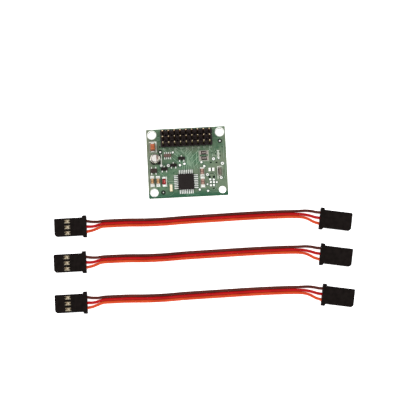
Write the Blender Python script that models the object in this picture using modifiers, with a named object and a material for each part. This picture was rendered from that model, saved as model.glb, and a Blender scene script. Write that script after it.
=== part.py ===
"""Servo driver board with a three-row pin header and three loose servo leads.

Frame: +Z is up and the tips of the header's solder tails stand on z = 0. The origin is under
the centre of the circuit board, +X runs along the board's longer side, and +Y points to the
edge that carries the header. Sizes and places below are in millimetres, and mm() turns them
into Blender's metres.
"""
import math

import bmesh
import bpy
from mathutils import Matrix, Vector

# ---- driving dimensions, in millimetres ------------------------------------------------------
PITCH = 2.54

BOARD_LENGTH = 35.0
BOARD_WIDTH = 30.6
BOARD_THICK = 1.6
TAIL_LENGTH = 1.2
BOARD_TOP = TAIL_LENGTH + BOARD_THICK
SEAT_GAP = 0.03

SCREW_HOLE_RADIUS = 1.6
SCREW_HOLE_X = 15.0
SCREW_HOLE_Y = 12.8
PIN_HOLE_RADIUS = 0.55

CHANNELS = 9
HEADER_X = 0.2
HEADER_ROWS = {"ground": 13.34, "power": 10.8, "signal": 8.26}
STRIP_WIDTH = PITCH - 0.05
STRIP_HEIGHT = 2.3
STRIP_NOTCH = 0.45
STRIP_STANDOFF = 0.3
STRIP_HOLE = 0.78
PIN_SIDE = 0.64
PIN_ABOVE_BOARD = 8.5
PIN_TIP = 0.35
CARRIER_BOTTOM = 0.08
CARRIER_THICK = 0.15

PLUG_LENGTH = 14.1
PLUG_WIDTH = 8.0
PLUG_THICK = 2.5
FLANGE_WIDTH = 9.7
FLANGE_LENGTH = 1.75
PLUG_KEY_CHAMFER = 0.9
PLUG_CORNER = 0.25
CAVITY_WIDTH = 1.9
CAVITY_HEIGHT = 1.7
FRONT_WALL = 0.8
PIN_OPENING = 1.0
WINDOW_START = 7.1
WINDOW_END = 9.7
CONTACT_START = 5.0
CONTACT_LENGTH = 8.0
CONTACT_WIDTH = 1.5
CONTACT_HEIGHT = 1.3
CONTACT_WALL = 0.2

WIRE_RADIUS = 0.5
WIRE_STEP = 3.6
WIRE_DEPTH = 4.6
WIRE_GUIDE = 1.2
RIBBON_SPREAD = 1.25
PLUG_Z = PLUG_THICK / 2
FLOOR_Z = 0.6

LEFT_PLUG_REAR = (-45.6, -25.9)
LEFT_PLUG_ANGLE = 180.2
RIGHT_PLUG_REAR = (57.1, -27.63)
RIGHT_PLUG_ANGLE = -9.9

# The middle wire's way from plug to plug: x, y, z, and how far the ground wire and the signal
# wire lie beside it.
RIBBON_ROUTE = [
    (-43.59, -26.12, 1.15, 2.20, 1.80),
    (-41.61, -25.91, 1.00, 1.85, 1.38),
    (-40.28, -25.48, 0.85, 1.40, 1.27),
    (-39.00, -25.18, 0.74, RIBBON_SPREAD, RIBBON_SPREAD),
    (-37.20, -25.07, 0.65, RIBBON_SPREAD, RIBBON_SPREAD),
    (-32.40, -25.08, FLOOR_Z, RIBBON_SPREAD, RIBBON_SPREAD),
    (-27.10, -25.15, FLOOR_Z, RIBBON_SPREAD, RIBBON_SPREAD),
    (-19.20, -25.48, FLOOR_Z, RIBBON_SPREAD, RIBBON_SPREAD),
    (-11.30, -25.52, FLOOR_Z, RIBBON_SPREAD, RIBBON_SPREAD),
    (-3.30, -25.25, FLOOR_Z, RIBBON_SPREAD, RIBBON_SPREAD),
    (4.60, -25.12, FLOOR_Z, RIBBON_SPREAD, RIBBON_SPREAD),
    (12.60, -25.03, FLOOR_Z, RIBBON_SPREAD, RIBBON_SPREAD),
    (20.60, -24.92, FLOOR_Z, RIBBON_SPREAD, RIBBON_SPREAD),
    (28.50, -24.86, FLOOR_Z, RIBBON_SPREAD, RIBBON_SPREAD),
    (36.50, -24.88, FLOOR_Z, RIBBON_SPREAD, RIBBON_SPREAD),
    (43.30, -25.00, FLOOR_Z, RIBBON_SPREAD, RIBBON_SPREAD),
    (45.75, -25.10, 0.62, RIBBON_SPREAD, RIBBON_SPREAD),
    (48.21, -25.27, 0.70, 1.38, RIBBON_SPREAD),
    (50.65, -25.63, 0.85, 1.76, 1.34),
    (53.02, -26.26, 1.00, 2.10, 1.71),
    (55.10, -27.02, 1.13, 2.32, 2.15),
]
# How far each wire leans towards +Y in its cavity, at the wire end of each plug.
LEFT_LEAN = {"ground": -0.05, "power": -0.05, "signal": 0.05}
RIGHT_LEAN = {"ground": 0.12, "power": 0.12, "signal": 0.12}
LEAD_SHIFTS = [(0.0, 0.0), (-0.8, -15.7), (-1.05, -33.35)]
CONDUCTORS = {"ground": 1, "power": 0, "signal": -1}


def mm(value):
    """Millimetres to metres."""
    return value * 0.001


# ---- scene, materials and small helpers ------------------------------------------------------
for old in list(bpy.data.objects):
    bpy.data.objects.remove(old, do_unlink=True)

PARTS = bpy.data.collections.new("servo_driver_board")
CUTTERS = bpy.data.collections.new("cutters")
bpy.context.scene.collection.children.link(PARTS)
bpy.context.scene.collection.children.link(CUTTERS)


def material(name, colour, roughness, metallic=0.0):
    made = bpy.data.materials.new(name)
    made.use_nodes = True
    shader = made.node_tree.nodes["Principled BSDF"]
    shader.inputs["Base Color"].default_value = (*colour, 1.0)
    shader.inputs["Roughness"].default_value = roughness
    shader.inputs["Metallic"].default_value = metallic
    made.diffuse_color = (*colour, 1.0)
    return made


SOLDER_MASK = material("solder_mask_green", (0.11, 0.26, 0.13), 0.42)
BLACK_PLASTIC = material("black_plastic", (0.018, 0.018, 0.018), 0.5)
GOLD_PLATE = material("gold_plate", (0.83, 0.62, 0.28), 0.28, 1.0)
MOULD_EPOXY = material("moulding_epoxy", (0.03, 0.03, 0.032), 0.6)
BROWN_EPOXY = material("brown_epoxy", (0.14, 0.11, 0.10), 0.6)
ALUMINIUM = material("can_aluminium", (0.75, 0.75, 0.76), 0.3, 1.0)
TANTALUM = material("tantalum_orange", (0.75, 0.30, 0.06), 0.5)
CERAMIC_TAN = material("ceramic_tan", (0.50, 0.36, 0.24), 0.6)
LED_RED = material("led_red", (0.70, 0.08, 0.07), 0.3)
CREAM = material("resonator_cream", (0.80, 0.76, 0.62), 0.45)
WIRE_LOOKS = {
    "ground": material("wire_brown", (0.10, 0.02, 0.015), 0.45),
    "power": material("wire_red", (0.55, 0.01, 0.015), 0.45),
    "signal": material("wire_orange", (0.70, 0.10, 0.02), 0.45),
}


def add_part(name, data, look, place=Matrix.Identity(4)):
    """A named object of the model, with its material and its place."""
    part = bpy.data.objects.new(name, data)
    data.materials.clear()
    data.materials.append(look)
    part.matrix_world = place
    PARTS.objects.link(part)
    return part


def add_cutter(name, data, place=Matrix.Identity(4)):
    cutter = bpy.data.objects.new(name, data)
    cutter.matrix_world = place
    cutter.hide_render = True
    cutter.display_type = "WIRE"
    CUTTERS.objects.link(cutter)
    return cutter


def boolean(part, tool, operation):
    step = part.modifiers.new(f"{operation.lower()}_{tool.name}", "BOOLEAN")
    step.operation = operation
    step.object = tool


def boxes_mesh(name, boxes):
    """A mesh of separate boxes, each given as its centre and its size, in millimetres."""
    made = bmesh.new()
    for centre, size in boxes:
        place = Matrix.Translation(Vector(centre)) @ Matrix.Diagonal((*size, 1.0))
        bmesh.ops.create_cube(made, size=1.0, matrix=place)
    bmesh.ops.scale(made, vec=(mm(1), mm(1), mm(1)), verts=made.verts)
    mesh = bpy.data.meshes.new(name)
    made.to_mesh(mesh)
    made.free()
    return mesh


def plate_mesh(name, outlines, thickness):
    """A flat outline with its holes, in the XY plane, as a closed mesh centred on z = 0."""
    curve = bpy.data.curves.new(name, "CURVE")
    curve.dimensions = "2D"
    curve.fill_mode = "BOTH"
    curve.extrude = thickness / 2
    for outline in outlines:
        spline = curve.splines.new("POLY")
        spline.points.add(len(outline) - 1)
        for point, (x, y) in zip(spline.points, outline):
            point.co = (x, y, 0.0, 1.0)
        spline.use_cyclic_u = True
    holder = bpy.data.objects.new(name, curve)
    bpy.context.scene.collection.objects.link(holder)
    depsgraph = bpy.context.evaluated_depsgraph_get()
    mesh = bpy.data.meshes.new_from_object(holder.evaluated_get(depsgraph))
    bpy.data.objects.remove(holder)
    welded = bmesh.new()
    welded.from_mesh(mesh)
    bmesh.ops.remove_doubles(welded, verts=welded.verts, dist=0.0005)
    bmesh.ops.recalc_face_normals(welded, faces=welded.faces)
    bmesh.ops.scale(welded, vec=(mm(1), mm(1), mm(1)), verts=welded.verts)
    welded.to_mesh(mesh)
    welded.free()
    return mesh


def placed_copies(name, source, places):
    """One mesh that repeats the source mesh at each of the places."""
    made = bmesh.new()
    for place in places:
        copy = source.copy()
        copy.transform(place)
        made.from_mesh(copy)
    mesh = bpy.data.meshes.new(name)
    made.to_mesh(mesh)
    made.free()
    return mesh


def ring(radius, count, centre=(0.0, 0.0), phase=0.5):
    turns = [(step + phase) * 2 * math.pi / count for step in range(count)]
    return [(centre[0] + radius * math.cos(a), centre[1] + radius * math.sin(a)) for a in turns]


def rectangle(length, width, centre=(0.0, 0.0)):
    x, y = centre
    return [(x + sx * length / 2, y + sy * width / 2)
            for sx, sy in ((-1, -1), (1, -1), (1, 1), (-1, 1))]


def at(x, y, z=BOARD_TOP + SEAT_GAP, turn=0.0):
    """A place in millimetres, turned about +Z by an angle in degrees."""
    return Matrix.Translation((mm(x), mm(y), mm(z))) @ Matrix.Rotation(math.radians(turn), 4, "Z")


def pin_x(channel):
    return HEADER_X + (channel - (CHANNELS - 1) / 2) * PITCH


# ---- circuit board ---------------------------------------------------------------------------
def build_board():
    outlines = [rectangle(BOARD_LENGTH, BOARD_WIDTH)]
    for side_x in (-1, 1):
        for side_y in (-1, 1):
            centre = (side_x * SCREW_HOLE_X, side_y * SCREW_HOLE_Y)
            outlines.append(ring(SCREW_HOLE_RADIUS, 24, centre))
    for row_y in HEADER_ROWS.values():
        for channel in range(CHANNELS):
            outlines.append(ring(PIN_HOLE_RADIUS, 8, (pin_x(channel), row_y)))
    mesh = plate_mesh("circuit_board", outlines, BOARD_THICK)
    add_part("circuit_board", mesh, SOLDER_MASK, at(0, 0, BOARD_TOP - BOARD_THICK / 2))


# ---- three-row pin header --------------------------------------------------------------------
def strip_outline():
    """Nine blocks in a row, with a V notch between each block and the next, on both sides."""
    half = STRIP_WIDTH / 2
    upper = [(-CHANNELS * PITCH / 2, half - STRIP_NOTCH)]
    for channel in range(CHANNELS):
        middle = pin_x(channel) - HEADER_X
        upper.append((middle - PITCH / 2 + STRIP_NOTCH, half))
        upper.append((middle + PITCH / 2 - STRIP_NOTCH, half))
        upper.append((middle + PITCH / 2, half - STRIP_NOTCH))
    return upper + [(x, -y) for x, y in reversed(upper)]


def comb_outline():
    """Nine square pins that share one thin carrier just above the board, seen from the front.

    The carrier ends flush with the outer pins, so their outer corners on it are left out.
    """
    foot = BOARD_TOP + CARRIER_BOTTOM
    top = foot + CARRIER_THICK
    tip = BOARD_TOP + PIN_ABOVE_BOARD
    half = PIN_SIDE / 2
    point = PIN_TIP / 2
    taper = PIN_SIDE - PIN_TIP
    upper = []
    lower = []
    for channel in range(CHANNELS):
        middle = pin_x(channel) - HEADER_X
        upper += [(middle - half, top), (middle - half, tip - taper), (middle - point, tip),
                  (middle + point, tip), (middle + half, tip - taper), (middle + half, top)]
        lower += [(middle - half, foot), (middle - half, taper), (middle - point, 0.0),
                  (middle + point, 0.0), (middle + half, taper), (middle + half, foot)]
    return upper[1:-1] + list(reversed(lower[1:-1]))


def build_header():
    outlines = [strip_outline()]
    outlines += [rectangle(STRIP_HOLE, STRIP_HOLE, (pin_x(channel) - HEADER_X, 0.0))
                 for channel in range(CHANNELS)]
    strip_z = BOARD_TOP + STRIP_STANDOFF + STRIP_HEIGHT / 2
    upright = Matrix.Rotation(math.radians(90), 4, "X")
    for row, row_y in HEADER_ROWS.items():
        strip = plate_mesh(f"{row}_header_strip", outlines, STRIP_HEIGHT)
        add_part(f"{row}_header_strip", strip, BLACK_PLASTIC, at(HEADER_X, row_y, strip_z))
        comb = plate_mesh(f"{row}_header_pins", [comb_outline()], PIN_SIDE)
        add_part(f"{row}_header_pins", comb, GOLD_PLATE, at(HEADER_X, row_y, 0.0) @ upright)


# ---- parts soldered on the board -------------------------------------------------------------
def gull_leg(name, reach, rise, thick, width):
    """A bent lead that leaves the body at the height rise, drops, and ends flat at +x."""
    knee = reach * 0.5
    outline = [(-0.3, rise - thick), (knee - thick, rise - thick), (knee - thick, 0.0),
               (reach, 0.0), (reach, thick), (knee, thick), (knee, rise), (-0.3, rise)]
    mesh = plate_mesh(name, [outline], width)
    mesh.transform(Matrix.Rotation(math.radians(90), 4, "X"))
    return mesh


def leaded_chip(name, place, body, look, legs, leg):
    """A moulded body with bent leads. legs maps an outward angle to the leads' places there."""
    length, width, height = body
    stand = 0.1
    block = boxes_mesh(name, [((0, 0, stand + height / 2), body)])
    chip = add_part(name, block, look, place)
    source = gull_leg(f"{name}_leg", **leg)
    places = []
    for angle, offsets in legs.items():
        outward = (width if angle % 180 else length) / 2
        for offset in offsets:
            shift = Matrix.Translation((mm(outward), mm(offset), 0.0))
            places.append(Matrix.Rotation(math.radians(angle), 4, "Z") @ shift)
    boolean(chip, add_cutter(f"{name}_legs", placed_copies(f"{name}_legs", source, places), place),
            "UNION")


def evenly(count, pitch):
    return [(index - (count - 1) / 2) * pitch for index in range(count)]


def end_capped_chip(name, place, size, cap, look, proud=0.04):
    """A chip part: a ceramic block between two metal end caps that stand slightly proud."""
    length, width, height = size
    core = (length - cap, width - 2 * proud, height - 2 * proud)
    chip = add_part(name, boxes_mesh(name, [((0, 0, height / 2), core)]), look, place)
    caps = [((side * (length - cap) / 2, 0, height / 2), (cap, width, height))
            for side in (-1, 1)]
    boolean(chip, add_cutter(f"{name}_caps", boxes_mesh(f"{name}_caps", caps), place), "UNION")


def build_microcontroller():
    sides = {angle: evenly(8, 0.8) for angle in (0, 90, 180, 270)}
    leaded_chip("microcontroller", at(-0.8, -8.6), (7.0, 7.0, 1.4), MOULD_EPOXY, sides,
                {"reach": 1.0, "rise": 0.85, "thick": 0.15, "width": 0.36})


def build_small_chips():
    small_leg = {"reach": 0.55, "rise": 0.6, "thick": 0.12, "width": 0.42}
    three = {270: (-0.95, 0.95), 90: (0.0,)}
    for number, (x, y) in enumerate(((-2.35, 1.8), (-6.05, -1.05), (-10.15, -2.5)), start=1):
        leaded_chip(f"transistor_{number}", at(x, y), (2.9, 1.3, 0.95), MOULD_EPOXY, three,
                    small_leg)
    eight = {270: evenly(4, 0.86), 90: evenly(4, 0.86)}
    leaded_chip("interface_chip", at(-8.45, 3.35), (3.3, 1.5, 1.1), BROWN_EPOXY, eight,
                {"reach": 0.6, "rise": 0.6, "thick": 0.12, "width": 0.36})
    four = {270: (-0.95, 0.95), 90: (-0.95, 0.95)}
    leaded_chip("voltage_regulator", at(-14.85, -3.1), (2.9, 2.0, 1.1), BROWN_EPOXY, four,
                small_leg)
    ends = {0: (0.0,), 180: (0.0,)}
    leaded_chip("protection_diode", at(14.2, -4.8, turn=90), (2.9, 1.55, 1.1), BROWN_EPOXY, ends,
                {"reach": 0.55, "rise": 0.6, "thick": 0.14, "width": 0.9})


def build_chip_parts():
    capacitor = (3.2, 1.6, 1.2)
    for number, (x, y) in enumerate(((-15.65, -7.7), (-13.1, -7.8), (6.45, -4.5), (6.5, -9.0)),
                                    start=1):
        end_capped_chip(f"ceramic_capacitor_{number}", at(x, y, turn=90), capacitor, 0.5,
                        CERAMIC_TAN)
    for number, y in enumerate((3.85, 1.45), start=1):
        end_capped_chip(f"chip_resistor_{number}", at(7.55, y), (3.2, 1.6, 0.6), 0.45,
                        MOULD_EPOXY, proud=0.02)
    end_capped_chip("tantalum_capacitor", at(-14.83, 7.3, turn=90), (3.3, 1.9, 1.5), 0.4,
                    TANTALUM)
    end_capped_chip("ceramic_resonator", at(-7.55, -11.05, turn=90), (3.2, 1.3, 0.9), 0.4, CREAM)


def build_led():
    place = at(-10.5, -8.1, turn=90)
    led = add_part("status_led", boxes_mesh("status_led", [((0, 0, 0.25), (3.2, 1.6, 0.5))]),
                   LED_RED, place)
    lens = boxes_mesh("status_led_lens", [((0, 0, 0.7), (2.0, 1.5, 0.8))])
    boolean(led, add_cutter("status_led_lens", lens, place), "UNION")


def build_can_capacitor():
    """An aluminium can that stands on a square plastic base with two cut corners."""
    side = 4.3 / 2
    cut = 0.75
    base_height = 0.9
    outline = [(-side, -side), (side, -side), (side, side - cut), (side - cut, side),
               (-side + cut, side), (-side, side - cut)]
    base = plate_mesh("capacitor_base", [outline], base_height)
    x, y = -13.8, 1.8
    add_part("capacitor_base", base, BLACK_PLASTIC,
             at(x, y, BOARD_TOP + SEAT_GAP + base_height / 2, turn=-90))
    radius = 2.0
    foot = base_height + 0.05
    crown = 5.5
    neck = 1.5
    profile = [(0.0, crown), (radius - 0.2, crown), (radius, crown - 0.2), (radius, neck + 0.35),
               (radius - 0.18, neck + 0.15), (radius - 0.18, neck - 0.15), (radius, neck - 0.35),
               (radius, foot), (0.0, foot)]
    mesh = bpy.data.meshes.new("capacitor_can")
    edges = [(index, index + 1) for index in range(len(profile) - 1)]
    mesh.from_pydata([(mm(px), 0.0, mm(pz)) for px, pz in profile], edges, [])
    can = add_part("capacitor_can", mesh, ALUMINIUM, at(x, y))
    turned = can.modifiers.new("turned", "SCREW")
    turned.steps = 24
    turned.render_steps = 24
    turned.use_merge_vertices = True
    turned.merge_threshold = 0.00001


# ---- servo leads -----------------------------------------------------------------------------
def housing_outline():
    """The plug from above: the wire end with its flange at x = 0, the mating end at +x."""
    half = PLUG_WIDTH / 2
    flange = FLANGE_WIDTH / 2
    return [(0.0, -flange), (FLANGE_LENGTH, -flange), (FLANGE_LENGTH, -half),
            (PLUG_LENGTH - PLUG_CORNER, -half), (PLUG_LENGTH, -half + PLUG_CORNER),
            (PLUG_LENGTH, half - PLUG_KEY_CHAMFER), (PLUG_LENGTH - PLUG_KEY_CHAMFER, half),
            (FLANGE_LENGTH, half), (FLANGE_LENGTH, flange), (0.0, flange)]


def span_box(x_range, y, width, z_range):
    centre = (sum(x_range) / 2, y, sum(z_range) / 2)
    return centre, (x_range[1] - x_range[0], width, z_range[1] - z_range[0])


def cut_housing(housing, place):
    """Opens the three cavities from the wire end, the pin openings and the latch windows."""
    lanes = evenly(3, PITCH)
    inner_end = PLUG_LENGTH - FRONT_WALL
    half = CAVITY_HEIGHT / 2
    cuts = {
        "cavities": [span_box((-1.0, inner_end), y, CAVITY_WIDTH, (-half, half)) for y in lanes],
        "openings": [span_box((inner_end - 0.3, PLUG_LENGTH + 1.0), y, PIN_OPENING,
                              (-PIN_OPENING / 2, PIN_OPENING / 2)) for y in lanes],
        "windows": [span_box((WINDOW_START, WINDOW_END), y, CAVITY_WIDTH - 0.2,
                             (half - 0.2, PLUG_THICK)) for y in lanes],
    }
    for kind, boxes in cuts.items():
        name = f"{housing.name}_{kind}"
        boolean(housing, add_cutter(name, boxes_mesh(name, boxes), place), "DIFFERENCE")


def contact_mesh(name):
    """A square socket that a header pin slides into, open at both ends, along +x."""
    outlines = [rectangle(CONTACT_HEIGHT, CONTACT_WIDTH),
                rectangle(CONTACT_HEIGHT - 2 * CONTACT_WALL, CONTACT_WIDTH - 2 * CONTACT_WALL)]
    mesh = plate_mesh(name, outlines, CONTACT_LENGTH)
    mesh.transform(Matrix.Rotation(math.radians(90), 4, "Y"))
    mesh.transform(Matrix.Translation((mm(CONTACT_START + CONTACT_LENGTH / 2), 0.0, 0.0)))
    return mesh


def smooth_way(points, step):
    """Points about one step apart on a smooth curve through all the given points."""
    ways = [points[0]] + points + [points[-1]]
    way = []
    for before, start, end, after in zip(ways, ways[1:], ways[2:], ways[3:]):
        count = max(1, round((end - start).length / step))
        for index in range(count):
            t = index / count
            way.append(0.5 * (2 * start + (end - before) * t
                              + (2 * before - 5 * start + 4 * end - after) * t ** 2
                              + (3 * start - before - 3 * end + after) * t ** 3))
    return way + [points[-1]]


def ribbon_points(side):
    """One wire's points between the plugs: the middle route moved sideways by its spread."""
    centres = [Vector(point[:3]) for point in RIBBON_ROUTE]
    moved = []
    for index, centre in enumerate(centres):
        ahead = centres[min(index + 1, len(centres) - 1)]
        behind = centres[max(index - 1, 0)]
        along = (ahead - behind).normalized()
        across = Vector((-along.y, along.x, 0.0)).normalized()
        spread = RIBBON_ROUTE[index][3 if side > 0 else 4]
        moved.append(centre + across * side * spread)
    return moved


def build_wire(name, look, points, shift):
    curve = bpy.data.curves.new(name, "CURVE")
    curve.dimensions = "3D"
    curve.bevel_depth = mm(WIRE_RADIUS)
    curve.bevel_resolution = 2
    curve.use_fill_caps = True
    spline = curve.splines.new("POLY")
    way = smooth_way(points, WIRE_STEP)
    spline.points.add(len(way) - 1)
    for point, place in zip(spline.points, way):
        point.co = (mm(place.x), mm(place.y), mm(place.z), 1.0)
    add_part(name, curve, look, shift)


def in_plug(plug, side, lean):
    """A wire's two points in a plug's cavity, in millimetres: at its stripped end, on the
    cavity's axis, and near the plug's wire end, where it leans towards +Y."""
    end, guide = (plug @ Vector((mm(depth), mm(-side * PITCH), 0.0)) / mm(1)
                  for depth in (WIRE_DEPTH, WIRE_GUIDE))
    return [end, guide + Vector((0.0, lean, 0.0))]


def build_leads():
    up = mm(PLUG_Z)
    left = (Matrix.Translation((mm(LEFT_PLUG_REAR[0]), mm(LEFT_PLUG_REAR[1]), up))
            @ Matrix.Rotation(math.radians(LEFT_PLUG_ANGLE), 4, "Z"))
    right = (Matrix.Translation((mm(RIGHT_PLUG_REAR[0]), mm(RIGHT_PLUG_REAR[1]), up))
             @ Matrix.Rotation(math.radians(RIGHT_PLUG_ANGLE), 4, "Z")
             @ Matrix.Rotation(math.pi, 4, "X"))
    for number, (shift_x, shift_y) in enumerate(LEAD_SHIFTS, start=1):
        lead = f"lead_{number}"
        shift = Matrix.Translation((mm(shift_x), mm(shift_y), 0.0))
        for end, plug in (("left", left), ("right", right)):
            name = f"{lead}_{end}_plug"
            mesh = plate_mesh(name, [housing_outline()], PLUG_THICK)
            housing = add_part(name, mesh, BLACK_PLASTIC, shift @ plug)
            cut_housing(housing, shift @ plug)
            for line, side in CONDUCTORS.items():
                contact = f"{lead}_{end}_{line}_contact"
                lane = Matrix.Translation((0.0, mm(-side * PITCH), 0.0))
                add_part(contact, contact_mesh(contact), GOLD_PLATE, shift @ plug @ lane)
        for line, side in CONDUCTORS.items():
            points = in_plug(left, side, LEFT_LEAN[line]) + ribbon_points(side)
            points += reversed(in_plug(right, side, RIGHT_LEAN[line]))
            build_wire(f"{lead}_{line}_wire", WIRE_LOOKS[line], points, shift)


build_board()
build_header()
build_microcontroller()
build_small_chips()
build_chip_parts()
build_led()
build_can_capacitor()
build_leads()
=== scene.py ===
"""Looks of the servo driver board and its three servo leads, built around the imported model.

Shapes are built in millimetres, in the model's own frame, and piece() turns them into metres.
"""

import math

import bmesh
import bpy
from mathutils import Matrix, Vector


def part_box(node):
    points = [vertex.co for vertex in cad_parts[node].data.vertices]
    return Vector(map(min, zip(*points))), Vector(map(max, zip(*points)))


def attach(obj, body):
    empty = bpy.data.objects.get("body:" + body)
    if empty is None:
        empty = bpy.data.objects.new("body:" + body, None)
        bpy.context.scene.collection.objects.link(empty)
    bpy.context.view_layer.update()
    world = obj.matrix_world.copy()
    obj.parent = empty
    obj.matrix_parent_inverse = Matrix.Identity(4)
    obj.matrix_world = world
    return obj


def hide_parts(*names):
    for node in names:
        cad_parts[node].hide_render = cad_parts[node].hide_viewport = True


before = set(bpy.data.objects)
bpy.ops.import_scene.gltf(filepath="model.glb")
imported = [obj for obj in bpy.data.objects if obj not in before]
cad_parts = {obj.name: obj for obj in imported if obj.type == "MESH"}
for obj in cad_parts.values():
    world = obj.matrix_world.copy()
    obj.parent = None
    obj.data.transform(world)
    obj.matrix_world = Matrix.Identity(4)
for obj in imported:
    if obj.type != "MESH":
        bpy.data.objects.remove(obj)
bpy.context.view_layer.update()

# ---- sizes in millimetres, as the model has them ----
PITCH = 2.54
CHANNELS = 9
ROWS = ("ground", "power", "signal")
ROW_Y = {row: sum(corner.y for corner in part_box(f"{row}_header_pins")) * 500 for row in ROWS}
HEADER_X = sum(corner.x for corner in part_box("power_header_pins")) * 500
BOARD_LOW, BOARD_HIGH = (corner * 1000 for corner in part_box("circuit_board"))
BOARD_TOP = BOARD_HIGH.z
BOARD_BOTTOM = BOARD_LOW.z
STRIP_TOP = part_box("power_header_strip")[1].z * 1000
PIN_TIP_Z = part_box("power_header_pins")[1].z * 1000
SCREW_X = 15.0
SCREW_Y = 12.8
SCREW_RADIUS = 1.6
PIN_HOLE_RADIUS = 0.5

PLUG_LENGTH = 14.1
PLUG_WIDTH = 8.0
PLUG_THICK = 2.5
FLANGE_WIDTH = 9.7
FLANGE_LENGTH = 1.75
KEY_CHAMFER = 0.9
CAVITY_WIDTH = 1.9
CAVITY_HEIGHT = 1.7
FRONT_WALL = 0.8
WINDOW_START = 7.1
WINDOW_END = 9.7
LEFT_PLUG_REAR = (-45.6, -25.9)
LEFT_PLUG_ANGLE = 180.2
RIGHT_PLUG_REAR = (57.1, -27.63)
RIGHT_PLUG_ANGLE = -9.9

WIRE_DIAMETER = 1.25
WIRE_DEPTH = 4.6
WIRE_GUIDE = 1.2
SPREAD = 1.25
FLOOR_Z = 0.6
LEAD_SHIFTS = [(0.0, 0.0), (-0.8, -15.7), (-1.05, -33.35)]
CONDUCTORS = {"ground": 1, "power": 0, "signal": -1}

# The middle wire's way from plug to plug: x, y, z, and how far the ground wire and the signal
# wire lie beside it.
RIBBON_ROUTE = [
    (-43.59, -26.12, 1.15, 2.20, 1.80),
    (-41.61, -25.91, 1.00, 1.85, 1.38),
    (-40.28, -25.48, 0.85, 1.40, 1.27),
    (-39.00, -25.18, 0.74, SPREAD, SPREAD),
    (-37.20, -25.07, 0.65, SPREAD, SPREAD),
    (-32.40, -25.08, FLOOR_Z, SPREAD, SPREAD),
    (-27.10, -25.15, FLOOR_Z, SPREAD, SPREAD),
    (-19.20, -25.48, FLOOR_Z, SPREAD, SPREAD),
    (-11.30, -25.52, FLOOR_Z, SPREAD, SPREAD),
    (-3.30, -25.25, FLOOR_Z, SPREAD, SPREAD),
    (4.60, -25.12, FLOOR_Z, SPREAD, SPREAD),
    (12.60, -25.03, FLOOR_Z, SPREAD, SPREAD),
    (20.60, -24.92, FLOOR_Z, SPREAD, SPREAD),
    (28.50, -24.86, FLOOR_Z, SPREAD, SPREAD),
    (36.50, -24.88, FLOOR_Z, SPREAD, SPREAD),
    (43.30, -25.00, FLOOR_Z, SPREAD, SPREAD),
    (45.75, -25.10, 0.62, SPREAD, SPREAD),
    (48.21, -25.27, 0.70, 1.38, SPREAD),
    (50.65, -25.63, 0.85, 1.76, 1.34),
    (53.02, -26.26, 1.00, 2.10, 1.71),
    (55.10, -27.02, 1.13, 2.32, 2.15),
]
# How far each wire leans towards +Y in its cavity, at the wire end of each plug.
LEFT_LEAN = {"ground": -0.05, "power": -0.05, "signal": 0.05}
RIGHT_LEAN = {"ground": 0.12, "power": 0.12, "signal": 0.12}


def add_object(name, data):
    """A new object, already in the scene."""
    made = bpy.data.objects.new(name, data)
    bpy.context.scene.collection.objects.link(made)
    return made


# ---- camera ----
def build_camera():
    roll = math.radians(2.93)
    tilt = math.radians(4.6)
    distance = 0.425
    aim = Vector((0.00485, -0.01697, 0.0028))
    right = Vector((math.cos(roll), -math.sin(roll), 0.0))
    forward = Vector((math.sin(roll), math.cos(roll), 0.0))
    back = Vector((0.0, 0.0, math.cos(tilt))) - forward * math.sin(tilt)
    up = back.cross(right)
    camera = add_object("camera", bpy.data.cameras.new("camera"))
    camera.data.lens = 87.0
    camera.data.sensor_width = 36.0
    camera.data.clip_start = 0.01
    turn = Matrix((right, up, back)).transposed().to_4x4()
    camera.matrix_world = Matrix.Translation(aim + back * distance) @ turn
    bpy.context.scene.camera = camera


# ---- materials ----
def add_node(tree, kind, **inputs):
    """A shader node with values set on its named inputs."""
    node = tree.nodes.new(kind)
    for key, value in inputs.items():
        node.inputs[key.replace("_", " ")].default_value = value
    return node


def noise(tree, coords, grain, detail=4.0, stretch=(1.0, 1.0, 1.0)):
    """Noise whose features are about one grain, in millimetres, across."""
    mapping = add_node(tree, "ShaderNodeMapping", Scale=[1000.0 / grain * s for s in stretch])
    tree.links.new(coords, mapping.inputs["Vector"])
    texture = add_node(tree, "ShaderNodeTexNoise", Scale=1.0, Detail=detail)
    tree.links.new(mapping.outputs["Vector"], texture.inputs["Vector"])
    return texture.outputs["Fac"]


def spread_between(tree, value, low, high, start=0.35, end=0.65):
    """The value from start to end, turned into low to high."""
    ranged = add_node(tree, "ShaderNodeMapRange", From_Min=start, From_Max=end, To_Min=low,
                      To_Max=high)
    tree.links.new(value, ranged.inputs["Value"])
    return ranged.outputs["Result"]


def mix_colours(tree, factor, first, second):
    """First to second by the factor, where each is a colour or another node's output."""
    mix = tree.nodes.new("ShaderNodeMix")
    mix.data_type = "RGBA"
    tree.links.new(factor, mix.inputs["Factor"])
    for socket, colour in (("A", first), ("B", second)):
        slot = [s for s in mix.inputs if s.name == socket and s.type == "RGBA"][0]
        if isinstance(colour, tuple):
            slot.default_value = (*colour, 1.0)
        else:
            tree.links.new(colour, slot)
    return [s for s in mix.outputs if s.type == "RGBA"][0]


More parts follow.
